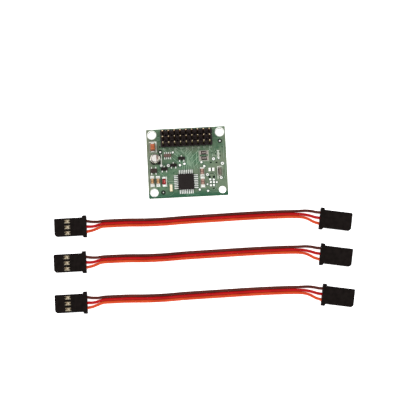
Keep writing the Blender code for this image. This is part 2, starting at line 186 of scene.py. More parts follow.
def surface(name, colour, tint, grain, roughness, bump=0.0, bump_grain=0.2, stretch=(1, 1, 1),
            **shader_values):
    """A material whose colour, roughness and relief vary over the surface at the grains given."""
    material = bpy.data.materials.new(name)
    material.use_nodes = True
    tree = material.node_tree
    shader = tree.nodes["Principled BSDF"]
    for key, value in shader_values.items():
        shader.inputs[key.replace("_", " ")].default_value = value
    coords = tree.nodes.new("ShaderNodeTexCoord").outputs["Object"]
    patches = spread_between(tree, noise(tree, coords, grain, stretch=stretch), 0.0, 1.0)
    tree.links.new(mix_colours(tree, patches, colour, tint), shader.inputs["Base Color"])
    gloss = spread_between(tree, noise(tree, coords, grain * 0.4, stretch=stretch), *roughness)
    tree.links.new(gloss, shader.inputs["Roughness"])
    if bump:
        relief = add_node(tree, "ShaderNodeBump", Strength=bump, Distance=0.00002)
        height = noise(tree, coords, bump_grain, detail=3.0, stretch=stretch)
        tree.links.new(height, relief.inputs["Height"])
        tree.links.new(relief.outputs["Normal"], shader.inputs["Normal"])
    return material


def place_fade(tree, coords, axis, start, end, wobble):
    """0 to 1 between two places in millimetres along an axis, with a wavering boundary."""
    parts = tree.nodes.new("ShaderNodeSeparateXYZ")
    tree.links.new(coords, parts.inputs[0])
    waver = tree.nodes.new("ShaderNodeMath")
    waver.operation = "MULTIPLY_ADD"
    waver.inputs[1].default_value = wobble * 0.001
    tree.links.new(noise(tree, coords, 2.2, detail=2.0), waver.inputs[0])
    tree.links.new(parts.outputs[axis], waver.inputs[2])
    middle = wobble * 0.5
    return spread_between(tree, waver.outputs[0], 0.0, 1.0, (start + middle) * 0.001,
                          (end + middle) * 0.001)


WEAVE_PITCH = 0.62
# Painted glare at the ends of the board: where the glare starts and is full along X, and how strong
# it gets.
END_GLARE = ((-13.2, -17.0, 0.85), (14.8, 17.6, 0.5))
FRONT_EDGE = (-11.6, -14.6)


def solder_mask(name, deep, pale, glare, edge):
    """Green mask over woven glass; painted glare in broad soft patches and at both ends; richer
    front edge.
    """
    material = surface(name, deep, pale, 1.3, (0.34, 0.48), bump=0.2, bump_grain=0.35,
                       Specular_IOR_Level=0.3)
    tree = material.node_tree
    shader = tree.nodes["Principled BSDF"]
    coords = tree.nodes["Texture Coordinate"].outputs["Object"]
    base = shader.inputs["Base Color"].links[0].from_socket
    threads = tree.nodes.new("ShaderNodeMath")
    threads.operation = "MULTIPLY"
    for index, direction in enumerate(("X", "Y")):
        wave = add_node(tree, "ShaderNodeTexWave", Scale=1000.0 / WEAVE_PITCH / math.tau,
                        Distortion=0.6)
        wave.bands_direction = direction
        tree.links.new(coords, wave.inputs["Vector"])
        tree.links.new(wave.outputs["Fac"], threads.inputs[index])
    woven = spread_between(tree, threads.outputs[0], 0.0, 0.45, 0.0, 1.0)
    colour = mix_colours(tree, woven, base, pale)
    # Painted glare: the mask pales in broad soft patches, and more so towards both ends.
    glare_patches = spread_between(tree, noise(tree, coords, 9.0, detail=2.0), 0.0, 0.6, 0.42, 0.68)
    colour = mix_colours(tree, glare_patches, colour, glare)
    for start, end, most in END_GLARE:
        side = spread_between(tree, place_fade(tree, coords, "X", start, end, 1.5), 0.0, most,
                              0.0, 1.0)
        colour = mix_colours(tree, side, colour, glare)
    front = place_fade(tree, coords, "Y", *FRONT_EDGE, 1.6)
    colour = mix_colours(tree, front, colour, edge)
    tree.links.new(colour, shader.inputs["Base Color"])
    return material


# ---- looks ----
# Green masks: deep colour, pale colour, the painted glare colour, and the richer colour at the
# front edge.
MASKS = {
    "mask": ((0.056, 0.128, 0.070), (0.120, 0.200, 0.122), (0.190, 0.215, 0.150),
             (0.022, 0.095, 0.050)),
    "mask_over_track": ((0.205, 0.330, 0.215), (0.255, 0.385, 0.265), (0.31, 0.36, 0.27),
                        (0.070, 0.200, 0.115)),
    "mask_gap": ((0.020, 0.078, 0.040), (0.036, 0.098, 0.054), (0.075, 0.105, 0.070),
                 (0.008, 0.042, 0.022)),
}
MASK_SLOT = "solder_mask_board"
SHEEN = "Specular_IOR_Level"
METAL = "Metallic"
DULL = {SHEEN: 0.12}
INSULATION = {"stretch": (0.35, 1, 1), SHEEN: 0.10}
# The other looks, by the slot that they fill: colour, tint, grain of the tint in millimetres,
# least and most roughness, bump, grain of the bump, and further values.
SURFACES = {
    MASK_SLOT: {
        "mask_window": ((0.006, 0.014, 0.008), (0.014, 0.026, 0.016), 0.5, (0.5, 0.65), 0.2, 0.2,
                        {SHEEN: 0.1}),
        "laminate_edge": ((0.10, 0.14, 0.08), (0.20, 0.23, 0.13), 0.5, (0.55, 0.8), 0.5, 0.12,
                          {"stretch": (0.3, 0.3, 3.0)}),
    },
    "solder_tin": {
        "tin": ((0.98, 0.99, 0.95), (0.84, 0.85, 0.81), 0.5, (0.26, 0.42), 0.1, 0.3,
                {METAL: 0.12}),
        "fired_tin": ((0.74, 0.72, 0.66), (0.56, 0.54, 0.48), 0.35, (0.3, 0.45), 0.2, 0.2,
                      {METAL: 0.15}),
        "dull_tin": ((0.46, 0.42, 0.38), (0.34, 0.30, 0.27), 0.4, (0.35, 0.5), 0.2, 0.2,
                     {METAL: 0.2}),
    },
    "silkscreen_white": {
        "ink": ((0.93, 0.95, 0.88), (0.78, 0.81, 0.73), 0.35, (0.55, 0.75), 0.2, 0.1, {}),
        "worn_ink": ((0.40, 0.43, 0.36), (0.27, 0.31, 0.24), 0.3, (0.55, 0.75), 0.2, 0.1, {}),
    },
    "header_plastic": {
        "header_black": ((0.0165, 0.0120, 0.0120), (0.0270, 0.0200, 0.0215), 0.9, (0.42, 0.58),
                         0.25, 0.12, DULL),
        # Near black for the patches around the pins: painted shade of recesses.
        "header_shade": ((0.0030, 0.0018, 0.0016), (0.0052, 0.0034, 0.0030), 0.5, (0.5, 0.65),
                         0.25, 0.12, {SHEEN: 0.04}),
    },
    "gold_plate": {
        "gold": ((0.50, 0.31, 0.11), (0.36, 0.21, 0.07), 0.7, (0.18, 0.28), 0.04, 0.4,
                 {"stretch": (1, 1, 0.2), METAL: 1.0}),
        # Paler gold on the pin tips: a painted highlight.
        "gold_tip_highlight": ((0.98, 0.84, 0.56), (0.88, 0.70, 0.42), 0.2, (0.3, 0.45), 0.1, 0.1,
                     {METAL: 0.25}),
        # Contacts: the colour runs in patches from a pale painted highlight to a brown painted
        # shade.
        "contact_gold": ((1.00, 0.90, 0.66), (0.24, 0.15, 0.07), 0.75, (0.20, 0.36), 0.35, 0.3,
                         {METAL: 0.35}),
    },
    "chip_epoxy": {
        "epoxy_black": ((0.0120, 0.0090, 0.0085), (0.0190, 0.0150, 0.0140), 0.25, (0.50, 0.66),
                        0.4, 0.08, DULL),
        "resistor_glass": ((0.030, 0.022, 0.020), (0.050, 0.040, 0.036), 0.5, (0.30, 0.42),
                           0.2, 0.1, DULL),
        "resistor_mark": ((0.52, 0.46, 0.43), (0.40, 0.35, 0.32), 0.4, (0.5, 0.7), 0.2, 0.08, {}),
    },
    "brown_epoxy": {
        "epoxy_umber": ((0.030, 0.021, 0.017), (0.050, 0.037, 0.031), 0.3, (0.50, 0.66), 0.4,
                        0.08, DULL),
        "epoxy_brown": ((0.070, 0.042, 0.034), (0.180, 0.120, 0.100), 0.55, (0.50, 0.66), 0.4,
                        0.08, DULL),
        "epoxy_grey": ((0.115, 0.100, 0.080), (0.190, 0.170, 0.140), 0.6, (0.50, 0.66), 0.4,
                       0.08, DULL),
    },
    "can_aluminium": {
        "can": ((0.74, 0.70, 0.62), (0.60, 0.56, 0.48), 0.6, (0.14, 0.24), 0.05, 0.3,
                {"stretch": (1.0, 1.0, 0.15), METAL: 1.0}),
        "can_crown": ((0.88, 0.86, 0.81), (0.74, 0.69, 0.67), 0.6, (0.26, 0.38), 0.05, 0.3,
                      {METAL: 0.25}),
    },
    "black_plastic": {
        "can_print": ((0.190, 0.125, 0.100), (0.260, 0.185, 0.155), 0.5, (0.40, 0.55), 0.1, 0.12,
                      {}),
    },
    "tantalum_orange": {
        "tantalum": ((0.60, 0.165, 0.060), (0.42, 0.105, 0.035), 0.7, (0.34, 0.48), 0.2, 0.1,
                     {}),
        "tantalum_band": ((0.045, 0.022, 0.016), (0.075, 0.036, 0.026), 0.5, (0.45, 0.6), 0.2,
                          0.1, {}),
    },
    # Capacitors: the dark body colours show at the sides as painted shade; the paler strips on top
    # are painted highlights.
    "ceramic_tan": {
        "ceramic_tan": ((0.110, 0.052, 0.022), (0.160, 0.085, 0.040), 0.5, (0.20, 0.34), 0.1,
                        0.08, {}),
        "highlight_tan": ((0.60, 0.37, 0.18), (0.48, 0.27, 0.12), 0.4, (0.20, 0.34), 0.1, 0.08, {}),
        "ceramic_brown": ((0.095, 0.040, 0.028), (0.150, 0.072, 0.052), 0.5, (0.22, 0.36), 0.1,
                          0.08, {}),
        "highlight_pink": ((0.58, 0.40, 0.33), (0.46, 0.29, 0.23), 0.4, (0.22, 0.36), 0.1, 0.08, {}),
    },
    "led_red": {
        "led_lens": ((0.36, 0.016, 0.018), (0.085, 0.007, 0.009), 0.75, (0.12, 0.24), 0.1, 0.3,
                     {"Transmission_Weight": 0.2, "IOR": 1.5}),
        # A paler red patch on the lens top: a painted highlight.
        "led_highlight": ((0.70, 0.13, 0.11), (0.42, 0.05, 0.05), 0.4, (0.3, 0.4), 0.1, 0.1, {}),
        "led_base": ((0.55, 0.53, 0.46), (0.42, 0.40, 0.34), 0.5, (0.5, 0.65), 0.2, 0.1, {}),
    },
    "resonator_cream": {
        "resonator": ((0.86, 0.78, 0.58), (0.70, 0.60, 0.38), 0.8, (0.22, 0.36), 0.1, 0.1, {}),
        "resonator_side": ((0.22, 0.19, 0.08), (0.30, 0.26, 0.12), 0.5, (0.4, 0.55), 0.1, 0.1,
                           {}),
    },
    "plug_plastic": {
        "plug": ((0.0052, 0.0034, 0.0029), (0.0092, 0.0064, 0.0056), 1.6, (0.42, 0.60), 0.35,
                 0.14, {SHEEN: 0.05}),
    },
    "wire_brown": {
        "brown": ((0.064, 0.0125, 0.0075), (0.100, 0.022, 0.014), 2.6, (0.34, 0.5), 0.2, 0.5,
                  INSULATION),
    },
    "wire_red": {
        "red": ((0.37, 0.0035, 0.0050), (0.45, 0.0060, 0.0075), 2.6, (0.34, 0.5), 0.2, 0.5,
                INSULATION),
    },
    "wire_orange": {
        "orange": ((0.52, 0.046, 0.011), (0.60, 0.072, 0.020), 2.6, (0.34, 0.5), 0.2, 0.5,
                   INSULATION),
    },
}
WIRE_LOOKS = {"ground": "brown", "power": "red", "signal": "orange"}
LOOKS = {name: solder_mask(name, *colours) for name, colours in MASKS.items()}
SLOTS = {name: MASK_SLOT for name in MASKS}
for slot, rows in SURFACES.items():
    for name, (*values, others) in rows.items():
        LOOKS[name] = surface(name, *values, **others)
        SLOTS[name] = slot


# ---- building shapes, in millimetres ----
def finished_mesh(name, shape):
    """The shape as a mesh in metres, with its faces turned outwards."""
    bmesh.ops.recalc_face_normals(shape, faces=shape.faces)
    bmesh.ops.scale(shape, vec=(0.001, 0.001, 0.001), verts=shape.verts)
    mesh = bpy.data.meshes.new(name)
    shape.to_mesh(mesh)
    shape.free()
    return mesh


def piece(name, shape, looks, replaces=(), smooth=35.0):
    """Turns a shape into a finished piece that rides on the board."""
    dress(name, finished_mesh(name, shape), looks, "board", replaces, smooth)


def dress(name, mesh, looks, body, replaces=(), smooth=35.0, place=None):
    """Makes a finished piece of a mesh, which several pieces may share."""
    if not mesh.materials:
        for look in looks:
            mesh.materials.append(LOOKS[look])
    mesh.shade_smooth()
    mesh.set_sharp_from_angle(angle=math.radians(smooth))
    made = add_object(name, mesh)
    if place is not None:
        made.matrix_world = place
    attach(made, body)
    if replaces:
        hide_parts(*replaces)
    return made


def merge(shape, part, look=0, place=None):
    """Adds a part to a shape, in one look and at its place."""
    if place is not None:
        part.transform(place)
    for face in part.faces:
        face.material_index = look
    carrier = bpy.data.meshes.new("carrier")
    part.to_mesh(carrier)
    part.free()
    shape.from_mesh(carrier)
    bpy.data.meshes.remove(carrier)


def shift(x=0.0, y=0.0, z=0.0, turn=0.0):
    """A move, after a turn about Z in degrees."""
    return Matrix.Translation((x, y, z)) @ Matrix.Rotation(math.radians(turn), 4, "Z")


def quarter_turn(axis):
    return Matrix.Rotation(math.radians(90), 4, axis)


def bridge(part, rows):
    """Four-sided faces between each closed row of corners and the next."""
    for row, following in zip(rows, rows[1:]):
        for index in range(len(row)):
            after = (index + 1) % len(row)
            part.faces.new((row[index], row[after], following[after], following[index]))


def add_block(shape, low, high, bevel=0.0, look=0, place=None, top_inset=0.0, bottom_inset=0.0,
              segments=2):
    """A box between two corners, with rounded edges and with drafted sides if an inset is set."""
    sides = [sorted(pair) for pair in zip(low, high)]
    size = [end - start for start, end in sides]
    centre = [(end + start) / 2 for start, end in sides]
    part = bmesh.new()
    bmesh.ops.create_cube(part, size=1.0, matrix=Matrix.Diagonal((*size, 1.0)))
    for vert in part.verts:
        inset = top_inset if vert.co.z > 0 else bottom_inset
        vert.co.x -= math.copysign(inset, vert.co.x)
        vert.co.y -= math.copysign(inset, vert.co.y)
    if bevel:
        bmesh.ops.bevel(part, geom=part.edges[:], offset=bevel, segments=segments, profile=0.6,
                        affect="EDGES")
    part.transform(Matrix.Translation(centre))
    merge(shape, part, look, place)


def plate(outlines, z_low, z_high):
    """A flat outline with its holes as a closed shape between two heights."""
    curve = bpy.data.curves.new("outline", "CURVE")
    curve.dimensions = "2D"
    curve.fill_mode = "BOTH"
    curve.extrude = (z_high - z_low) / 2
    for outline in outlines:
        spline = curve.splines.new("POLY")
        spline.points.add(len(outline) - 1)
        for point, (x, y) in zip(spline.points, outline):
            point.co = (x, y, 0.0, 1.0)
        spline.use_cyclic_u = True
    holder = add_object("outline", curve)
    depsgraph = bpy.context.evaluated_depsgraph_get()
    mesh = bpy.data.meshes.new_from_object(holder.evaluated_get(depsgraph))
    part = bmesh.new()
    part.from_mesh(mesh)
    bpy.data.objects.remove(holder)
    bpy.data.curves.remove(curve)
    bpy.data.meshes.remove(mesh)
    bmesh.ops.remove_doubles(part, verts=part.verts, dist=0.0005)
    bmesh.ops.recalc_face_normals(part, faces=part.faces)
    part.transform(Matrix.Translation((0.0, 0.0, (z_high + z_low) / 2)))
    return part


def prism(outline, z_low, z_high, bevel=0.0):
    """A single outline as a closed shape between two heights, with its edges rounded."""
    part = bmesh.new()
    rows = [[part.verts.new((x, y, z)) for x, y in outline] for z in (z_low, z_high)]
    for row in rows:
        part.faces.new(row)
    bridge(part, rows)
    bmesh.ops.recalc_face_normals(part, faces=part.faces)
    if bevel:
        bmesh.ops.bevel(part, geom=part.edges[:], offset=bevel, segments=2, affect="EDGES")
    return part


def circle(radius, count, centre=(0.0, 0.0), start=0.0, sweep=360.0):
    """Points around a circle, or along an arc of it that includes both ends."""
    steps = count if sweep == 360.0 else count - 1
    angles = [math.radians(start + sweep * step / steps) for step in range(count)]
    return [(centre[0] + radius * math.cos(a), centre[1] + radius * math.sin(a)) for a in angles]


def rounded_rectangle(low, high, radius):
    corners = [(high[0] - radius, high[1] - radius, 0), (low[0] + radius, high[1] - radius, 90),
               (low[0] + radius, low[1] + radius, 180), (high[0] - radius, low[1] + radius, 270)]
    points = []
    for x, y, start in corners:
        points += circle(radius, 5, (x, y), start, 90.0)
    return points


def add_turned(shape, profile, count, place):
    """A closed shape turned about Z from a profile of (radius, z) that starts and ends on it."""
    part = bmesh.new()
    points = [part.verts.new((radius, 0.0, z)) for radius, z in profile]
    edges = [part.edges.new(pair) for pair in zip(points, points[1:])]
    bmesh.ops.spin(part, geom=points + edges, cent=(0, 0, 0), axis=(0, 0, 1),
                   angle=2 * math.pi, steps=count, use_merge=True)
    bmesh.ops.remove_doubles(part, verts=part.verts, dist=0.0001)
    merge(shape, part, place=place)


def add_ring(shape, centre, inner, outer, z_low, z_high, count=28):
    """A flat washer."""
    part = bmesh.new()
    loops = []
    for radius, z in ((inner, z_low), (outer, z_low), (outer, z_high), (inner, z_high)):
        loops.append([part.verts.new((x, y, z)) for x, y in circle(radius, count, centre)])
    bridge(part, loops + loops[:1])
    merge(shape, part)


def rounded_path(points, radius):
    """A polyline with each inner corner replaced by a short curve."""
    path = [Vector(points[0])]
    for before, corner, after in zip(points, points[1:], points[2:]):
        corner = Vector(corner)
        inward = Vector(before) - corner
        outward = Vector(after) - corner
        reach = min(radius, inward.length * 0.45, outward.length * 0.45)
        start = corner + inward.normalized() * reach
        end = corner + outward.normalized() * reach
        for step in range(5):
            t = step / 4
            path.append(start.lerp(corner, t).lerp(corner.lerp(end, t), t))
    return path + [Vector(points[-1])]


def add_track(shape, points, width, z_low, z_high, radius=0.6):
    """A flat track along a path, as copper under the mask or a printed line."""
    path = rounded_path(points, radius) if radius else [Vector(point) for point in points]
    part = bmesh.new()
    rows = []
    for index, point in enumerate(path):
        along = (path[min(index + 1, len(path) - 1)] - path[max(index - 1, 0)]).normalized()
        side = Vector((-along.y, along.x)) * width / 2
        row = []
        for edge, z in ((side, z_low), (-side, z_low), (-side, z_high), (side, z_high)):
            row.append(part.verts.new((point.x + edge.x, point.y + edge.y, z)))
        rows.append(row)
    bridge(part, rows)
    part.faces.new(rows[0])
    part.faces.new(list(reversed(rows[-1])))
    merge(shape, part)


def add_dome(shape, x, y, radius, height):
    """A low mound of solder on the board."""
    profile = [(0.0, BOARD_TOP + height)]
    for step in range(1, 5):
        angle = math.radians(90 * step / 4)
        profile.append((radius * math.sin(angle), BOARD_TOP + height * math.cos(angle)))
    profile += [(radius, BOARD_TOP - 0.01), (0.0, BOARD_TOP - 0.01)]
    add_turned(shape, profile, 20, shift(x, y))


# ---- bare board ----
SCREW_HOLES = [(x * SCREW_X, y * SCREW_Y) for x in (-1, 1) for y in (-1, 1)]
# The tinned ring around each screw hole ends at this radius.
SCREW_RINGS = (1.85, 2.06, 1.64, 2.1)
# Plated holes with a ring: x, y, the ring's radius and the hole's.
RING_VIAS = [(8.68, -5.91, 0.62, 0.24), (15.55, -1.27, 0.72, 0.26), (14.71, -7.56, 0.62, 0.24),
             (11.74, 0.93, 0.66, 0.22), (-8.3, -1.05, 0.68, 0.20)]
# Bare round holes: x, y and radius.
OPEN_HOLES = [(-6.0, -4.4, 0.22), (3.4, 1.2, 0.22), (-4.5, 4.9, 0.22), (1.3, -0.6, 0.2),
              (-12.3, -0.1, 0.2), (15.8, 6.1, 0.26)]
# Bare dark places in the mask: x, y, length and width.
DARK_SPOTS = [(9.56, -6.92, 1.0, 0.9), (11.5, -7.02, 1.0, 0.9), (10.49, -0.61, 0.8, 0.65),
              (12.96, -0.73, 0.8, 0.65), (11.2, -12.1, 0.9, 0.5), (10.6, -3.75, 0.3, 1.4),
              (10.7, -5.4, 1.6, 0.3), (-15.9, 10.2, 0.85, 0.34), (-14.75, 10.16, 0.85, 0.34),
              (-11.68, 7.38, 0.6, 0.7), (11.3, 3.6, 0.9, 0.25), (12.6, 4.4, 0.8, 0.25),
              (12.9, 3.1, 0.25, 0.9), (14.8, 3.9, 0.25, 0.9), (14.8, 2.2, 0.25, 0.9)]
# Round test pads: x and y.
TEST_PADS = [(9.81, -8.07), (11.34, -8.25), (10.05, -9.32), (11.44, -9.39), (9.99, -10.71),
             (11.31, -10.71)]
TEST_PAD_RADIUS = 0.5
# Mounds of solder, and then fiducial marks: x, y and radius.
SOLDER_DOTS = [(8.47, -10.16, 0.42), (12.67, -9.46, 0.42), (7.49, -2.09, 0.55),
               (6.34, -0.33, 0.50), (4.96, -12.36, 0.50), (8.63, -13.11, 0.52),
               (-6.07, 4.73, 0.52), (-11.45, -0.95, 0.62), (-3.21, -1.13, 0.58),
               (-1.18, -0.62, 0.55), (14.0, 1.0, 0.34)]
FIDUCIALS = [(14.92, 8.8, 0.38), (-11.06, -12.85, 0.24), (-11.61, 5.08, 0.42)]
MCU_X, MCU_Y = (sum(corner[axis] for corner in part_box("microcontroller")) * 500
                for axis in (0, 1))


def evenly(count, pitch):
    """Places of a centred row."""
    return [(index - (count - 1) / 2) * pitch for index in range(count)]


PIN_X = [HEADER_X + x for x in evenly(CHANNELS, PITCH)]
PIN_PLACES = {(row, channel): (x, ROW_Y[row])
              for row in ROWS for channel, x in enumerate(PIN_X, start=1)}


def build_laminate():
    """The board itself: woven glass laminate with mask on both faces and its drilled holes."""
    outlines = [rounded_rectangle(BOARD_LOW, BOARD_HIGH, 0.35)]
    outlines += [circle(SCREW_RADIUS, 48, hole) for hole in SCREW_HOLES]
    outlines += [circle(PIN_HOLE_RADIUS, 16, place) for place in PIN_PLACES.values()]
    outlines += [circle(hole, 16, (x, y)) for x, y, _, hole in RING_VIAS]
    outlines += [circle(radius, 16, (x, y)) for x, y, radius in OPEN_HOLES]
    shape = plate(outlines, BOARD_BOTTOM, BOARD_TOP)
    for face in shape.faces:
        face.material_index = 0 if abs(face.normal.z) > 0.5 else 1
    piece("laminate", shape, ["mask", "laminate_edge"], ["circuit_board"])
    # The small holes are filled below the surface, so that the bright floor doesn't show.
    plugs = bmesh.new()
    for x, y, radius in OPEN_HOLES + [(x, y, hole) for x, y, _, hole in RING_VIAS]:
        merge(plugs, plate([circle(radius + 0.02, 16, (x, y))], BOARD_BOTTOM - 0.01,
                           BOARD_TOP - 0.12))
    piece("via_filling", plugs, ["mask_window"])


# Width of a track and of the clearance around it, and height of the printed ink.
TRACK = 0.27
TRACK_GAP = 0.66
INK = 0.03
# What lies on the board begins a little inside it.
TOP_ROOT = BOARD_TOP - 0.02
BOTTOM_ROOT = BOARD_BOTTOM + 0.02


def top_tracks():
    """Ways of the copper tracks on the component side, as lists of points."""
    ways = []
    # From each signal pin to the microcontroller.
    for channel, x in enumerate(PIN_X):
        bus_x = MCU_X - 2.8 + 0.8 * min(channel, 7) + (1.0 if channel == 8 else 0.0)
        start = 5.2 if channel > 1 else 6.1
        ways.append([(x, ROW_Y["signal"] - 0.9), (x, start), (bus_x, start - abs(bus_x - x)),
                     (bus_x, MCU_Y + 5.4)])
    # Curved runs left of the microcontroller, and short ones around its other sides.
    for index in range(5):
        radius = 2.4 + 0.62 * index
        arc = circle(radius, 9, (-2.3, 1.9), 150, -150)
        ways.append(arc + [(arc[-1][0] + 0.1, -1.2 - 0.3 * index)])
    for index in range(4):
        y = MCU_Y - 2.0 + 0.8 * index
        ways.append([(MCU_X - 5.4, y), (MCU_X - 6.4 - 0.4 * index, y),
                     (MCU_X - 7.2 - 0.4 * index, y + 0.8)])
    for index in range(4):
        x = MCU_X - 1.2 + 0.8 * index
        ways.append([(x, MCU_Y - 5.4), (x, -14.2 + 0.25 * index), (x + 2.0 + index, -14.9)])
    for index in range(3):
        ways.append([(-12.9, 11.7 - 0.75 * index), (-11.6, 11.7 - 0.75 * index)])
    # Single tracks near the board's edges.
    ways += [
        [(-12.95, -3.18), (-10.74, -5.31), (-10.5, -5.9)],
        [(11.4, -5.2), (12.3, -6.1), (12.3, -11.8), (11.3, -12.8)],
        [(9.9, 5.6), (11.3, 4.2), (11.3, 1.9)],
        [(12.3, 5.7), (12.3, 4.6), (12.9, 3.9), (12.9, 0.6)],
        [(16.3, 8.0), (16.3, 0.8)],
        [(16.7, -0.8), (16.7, -6.2), (15.9, -8.0)],
        [(-16.8, 3.8), (-16.8, -4.6)],
        [(4.9, 4.6), (4.3, 3.9), (4.3, -2.4), (4.9, -3.2)],
        [(-16.5, -14.5), (-8.0, -14.5), (-6.5, -13.5)],
        [(13.0, -13.7), (9.9, -13.7), (9.2, -13.2)],
    ]
    return ways


def build_tracks():
    """Copper under the mask: each track stands a little proud, inside its clearance."""
    gaps = bmesh.new()
    tracks = bmesh.new()
    for index, way in enumerate(top_tracks()):
        height = BOARD_TOP + 0.00024 * index
        add_track(gaps, way, TRACK_GAP, TOP_ROOT, height + 0.003)
        add_track(tracks, way, TRACK, TOP_ROOT, height + 0.014)
    for step in range(11):
        x = -14.2 + 2.8 * step
        way = [(x, 3.0), (x, -2.0 - step % 3), (x + 1.2, -3.2 - step % 3), (x + 1.2, -9.6)]
        add_track(gaps, way, TRACK_GAP, BOARD_BOTTOM - 0.006, BOTTOM_ROOT)
        add_track(tracks, way, TRACK, BOARD_BOTTOM - 0.03, BOTTOM_ROOT)
    piece("mask_clearances", gaps, ["mask_gap"])
    piece("mask_tracks", tracks, ["mask_over_track"])


def build_plated_marks():
    """Tinned rings on both faces, and the pads, test points and fiducials on the top."""
    shape = bmesh.new()
    for (x, y), edge in zip(SCREW_HOLES, SCREW_RINGS):
        inner = SCREW_RADIUS + 0.01
        add_ring(shape, (x, y), inner, edge, TOP_ROOT, BOARD_TOP + INK, 48)
        add_ring(shape, (x, y), inner, 2.3, BOARD_BOTTOM - INK, BOTTOM_ROOT, 48)
    for x, y, outer, hole in RING_VIAS:
        add_ring(shape, (x, y), hole, outer, TOP_ROOT, BOARD_TOP + 0.06)
        add_ring(shape, (x, y), hole, outer, BOARD_BOTTOM - INK, BOTTOM_ROOT)
    for x, y in TEST_PADS:
        add_dome(shape, x, y, TEST_PAD_RADIUS, 0.13)
    for x, y, radius in SOLDER_DOTS:
        add_dome(shape, x, y, radius, 0.16)
    for x, y, radius in FIDUCIALS:
        add_dome(shape, x, y, radius, 0.05)
    for x in (9.8, 11.37):
        add_block(shape, (x - 0.5, -4.45, TOP_ROOT), (x + 0.5, -2.95, BOARD_TOP + 0.08),
                  bevel=0.05)
    piece("tinned_copper", shape, ["tin"], smooth=40)


def build_mask_openings():
    """Rich green around the solder, and dark bare places in the mask."""
    halo = bmesh.new()
    spots = [(x, y, TEST_PAD_RADIUS) for x, y in TEST_PADS] + SOLDER_DOTS
    spots += [(x, y, outer) for x, y, outer, _ in RING_VIAS]
    for x, y, radius in spots:
        merge(halo, plate([circle(radius + 0.28, 24, (x, y))], TOP_ROOT, BOARD_TOP + 0.022))
    for half_x, half_y, top in ((5.45, 3.2, 0.0200), (3.2, 5.45, 0.0185)):
        outline = rounded_rectangle((MCU_X - half_x, MCU_Y - half_y),
                                    (MCU_X + half_x, MCU_Y + half_y), 0.3)
        merge(halo, plate([outline], TOP_ROOT, BOARD_TOP + top))
    piece("mask_halos", halo, ["mask_gap"])
    windows = bmesh.new()
    for x, y, radius in FIDUCIALS:
        add_ring(windows, (x, y), radius + 0.02, 1.0, TOP_ROOT, BOARD_TOP + 0.012)
    for x, y, length, width in DARK_SPOTS:
        add_block(windows, (x - length / 2, y - width / 2, TOP_ROOT),
                  (x + length / 2, y + width / 2, BOARD_TOP + 0.026))
    piece("mask_windows", windows, ["mask_window"])


def add_frame(shape, low, high, width):
    """A printed rectangle."""
    outer = [low, (high[0], low[1]), high, (low[0], high[1])]
    inner = [(x + math.copysign(width, low[0] + high[0] - 2 * x),
              y + math.copysign(width, low[1] + high[1] - 2 * y)) for x, y in outer]
    merge(shape, plate([outer, inner], BOARD_TOP - 0.01, BOARD_TOP + INK))


def add_line(shape, x, y, end_x, end_y, width):
    """A printed line."""
    add_track(shape, [(x, y), (end_x, end_y)], width, BOARD_TOP - 0.01, BOARD_TOP + INK + 0.002,
              radius=0.0)


# Printed lines: x and y of both ends, and width.
BRIGHT_LINES = [(-13.35, 9.9, -13.35, 5.0, 0.5), (-16.3, 9.7, -13.6, 9.7, 0.4),
                (13.3, -8.0, 13.3, -2.5, 0.24), (13.42, -2.5, 15.3, -2.5, 0.24),
                (-11.15, 4.0, -11.35, -0.5, 0.32), (-9.45, -5.9, -9.45, -10.4, 0.3)]
WORN_LINES = [(-16.3, 9.5, -16.3, 5.2, 0.24), (-16.15, 5.2, -13.7, 5.2, 0.3),
              (15.3, -2.7, 15.3, -6.6, 0.24)]
# Printed rectangles: two corners, and line width.
WORN_FRAMES = [((5.25, 0.1), (9.8, 4.95), 0.42), ((5.4, -6.5), (7.5, -2.55), 0.2),
               ((5.45, -11.7), (7.55, -6.9), 0.2), ((-16.6, -10.3), (-14.7, -5.3), 0.16),
               ((-14.1, -10.3), (-12.15, -5.4), 0.16)]


def build_print():
    """Printed outlines around parts, and plain tick marks beside the header and the chips."""
    bright = bmesh.new()
    for line in BRIGHT_LINES:
        add_line(bright, *line)
    for step in range(8):
        reach = (0.55, 0.3, 0.45)[step % 3]
        y = 4.5 - 0.5 * step
        add_line(bright, 13.92 - reach, y, 13.92 + reach, y, 0.24)
    piece("printed_marks", bright, ["ink"])
    dim = bmesh.new()
    for line in WORN_LINES:
        add_line(dim, *line)
    for outline in WORN_FRAMES:
        add_frame(dim, *outline)
    for channel, pin_x in enumerate(PIN_X):
        for x in (pin_x - 0.25, pin_x + 0.2, pin_x + 0.65):
            add_line(dim, x, 5.95 + 0.2 * (channel % 2), x, 6.55, 0.2)
    for step in range(4):
        x = 11.5 + 0.5 * step
        add_line(dim, x, 2.1, x, 2.8, 0.18)
    piece("worn_marks", dim, ["worn_ink"])


# ---- pin header ----
CORNERS = ((-1, -1), (1, -1), (1, 1), (-1, 1))
STRIP_NOTCH = 0.45
STRIP_WIDTH = 2.5
PIN_HOLE = 0.345


